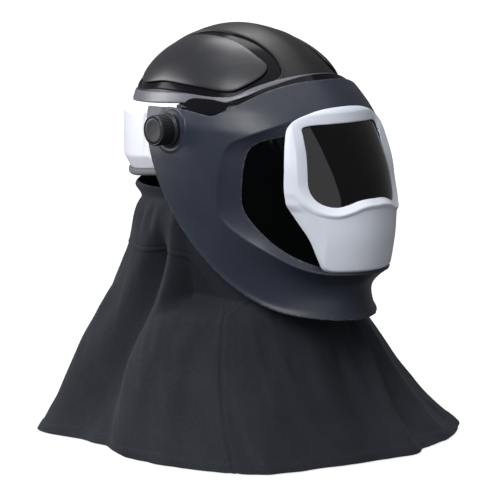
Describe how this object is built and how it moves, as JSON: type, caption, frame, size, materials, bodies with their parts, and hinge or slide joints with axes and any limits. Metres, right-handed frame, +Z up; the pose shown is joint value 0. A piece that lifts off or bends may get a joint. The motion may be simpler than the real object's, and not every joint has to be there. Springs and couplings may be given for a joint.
{
  "type": "powered air respirator",
  "caption": "Head-top of a powered air respirator: hard hat with rear air duct, clear visor, flip-up welding shield and fabric shoulder shroud.",
  "frame": {"origin": "on the floor under the middle of the shroud's hem", "axes": "+Z up, the wearer faces -Y, +X to the wearer's left"},
  "size_m": [0.51, 0.51, 0.486],
  "materials": {
    "helmet_black": "moulded, fine matte grain",
    "crown_grey": "satin moulded plastic",
    "trim_silver": "silver-grey satin paint",
    "duct_white": "smooth satin white plastic",
    "collar_grey": "soft grey edging",
    "inner_black": "moulded, matte",
    "steel": "zinc-plated",
    "padding": "brushed fabric over foam",
    "webbing": "woven strap",
    "shroud_fabric": "plain-woven flame-retardant cotton",
    "visor_black": "polished black plastic",
    "visor_clear": "clear polycarbonate",
    "seal_black": "soft foam seal",
    "shield_grey": "satin slate-grey moulded plastic",
    "frame_silver": "silver satin paint",
    "window_dark": "dark tinted polycarbonate",
    "plate_clear": "clear cover plate over the dark filter",
    "filter_dark": "dark filter glass",
    "knob_black": "moulded, fluted grip"
  },
  "bodies": {
    "helmet": {"helmet_shell": "helmet_black", "rim_trim": "trim_silver", "crown_panel_right": "crown_grey", "crown_panel_left": "crown_grey", "rear_air_duct": "duct_white", "neck_collar": "collar_grey", "breathing_tube_socket": "inner_black", "socket_seal": "seal_black", "socket_bayonet_lugs": "inner_black", "crown_air_duct": "inner_black", "pivot_hub_right": "inner_black", "pivot_hub_left": "inner_black", "pivot_spindle_right": "steel", "pivot_spindle_left": "steel", "hub_screws": "steel", "headband_front": "inner_black", "brow_pad": "padding", "crown_strap_long": "webbing", "crown_strap_cross": "webbing", "crown_pad": "padding", "strap_anchors": "inner_black", "face_frame": "inner_black", "shroud_skirt": "shroud_fabric", "shroud_hem": "shroud_fabric", "shroud_yoke": "shroud_fabric", "shroud_chin_panel": "shroud_fabric"},
    "nape": {"nape_band": "inner_black", "ratchet_housing": "inner_black", "nape_pad": "padding"},
    "ratchet": {"ratchet_pinion": "inner_black", "ratchet_knob": "knob_black"},
    "deflector": {"air_deflector": "inner_black"},
    "visor": {"visor_frame": "visor_black", "visor_lens": "visor_clear", "visor_gasket": "seal_black", "friction_washer_right": "seal_black", "friction_washer_left": "seal_black"},
    "shield": {"shield_shell": "shield_grey", "front_frame": "frame_silver", "side_window_right": "window_dark", "side_window_left": "window_dark", "outer_cover_plate": "plate_clear", "filter_holder": "inner_black", "welding_filter": "filter_dark"},
    "knob_right": {"tension_knob_right": "knob_black", "knob_cap_right": "knob_black"},
    "knob_left": {"tension_knob_left": "knob_black", "knob_cap_left": "knob_black"}
  },
  "joints": [
    {"name": "visor_lift", "type": "hinge", "parent": "helmet", "child": "visor", "pos_m": [0, 0, 0.371], "axis": [-1, 0, 0], "range_deg": [0, 35]},
    {"name": "shield_lift", "type": "hinge", "parent": "visor", "child": "shield", "pos_m": [0, 0, 0.371], "axis": [-1, 0, 0], "range_deg": [0, 65]},
    {"name": "knob_right_turn", "type": "hinge", "parent": "shield", "child": "knob_right", "pos_m": [0, 0, 0.371], "axis": [-1, 0, 0], "range_deg": [-180, 180]},
    {"name": "knob_left_turn", "type": "hinge", "parent": "shield", "child": "knob_left", "pos_m": [0, 0, 0.371], "axis": [1, 0, 0], "range_deg": [-180, 180]},
    {"name": "nape_slide", "type": "slide", "parent": "helmet", "child": "nape", "axis": [0, -1, 0], "range_m": [0, 0.02]},
    {"name": "ratchet_turn", "type": "hinge", "parent": "nape", "child": "ratchet", "pos_m": [0, 0.13, 0.383], "axis": [0, 1, 0], "range_deg": [0, 200]},
    {"name": "deflector_slide", "type": "slide", "parent": "helmet", "child": "deflector", "axis": [1, 0, 0], "range_m": [0, 0.022]}
  ],
  "couplings": [
    {"joint": "ratchet_turn", "follows": "nape_slide", "rad_per_m": 166.67}
  ]
}
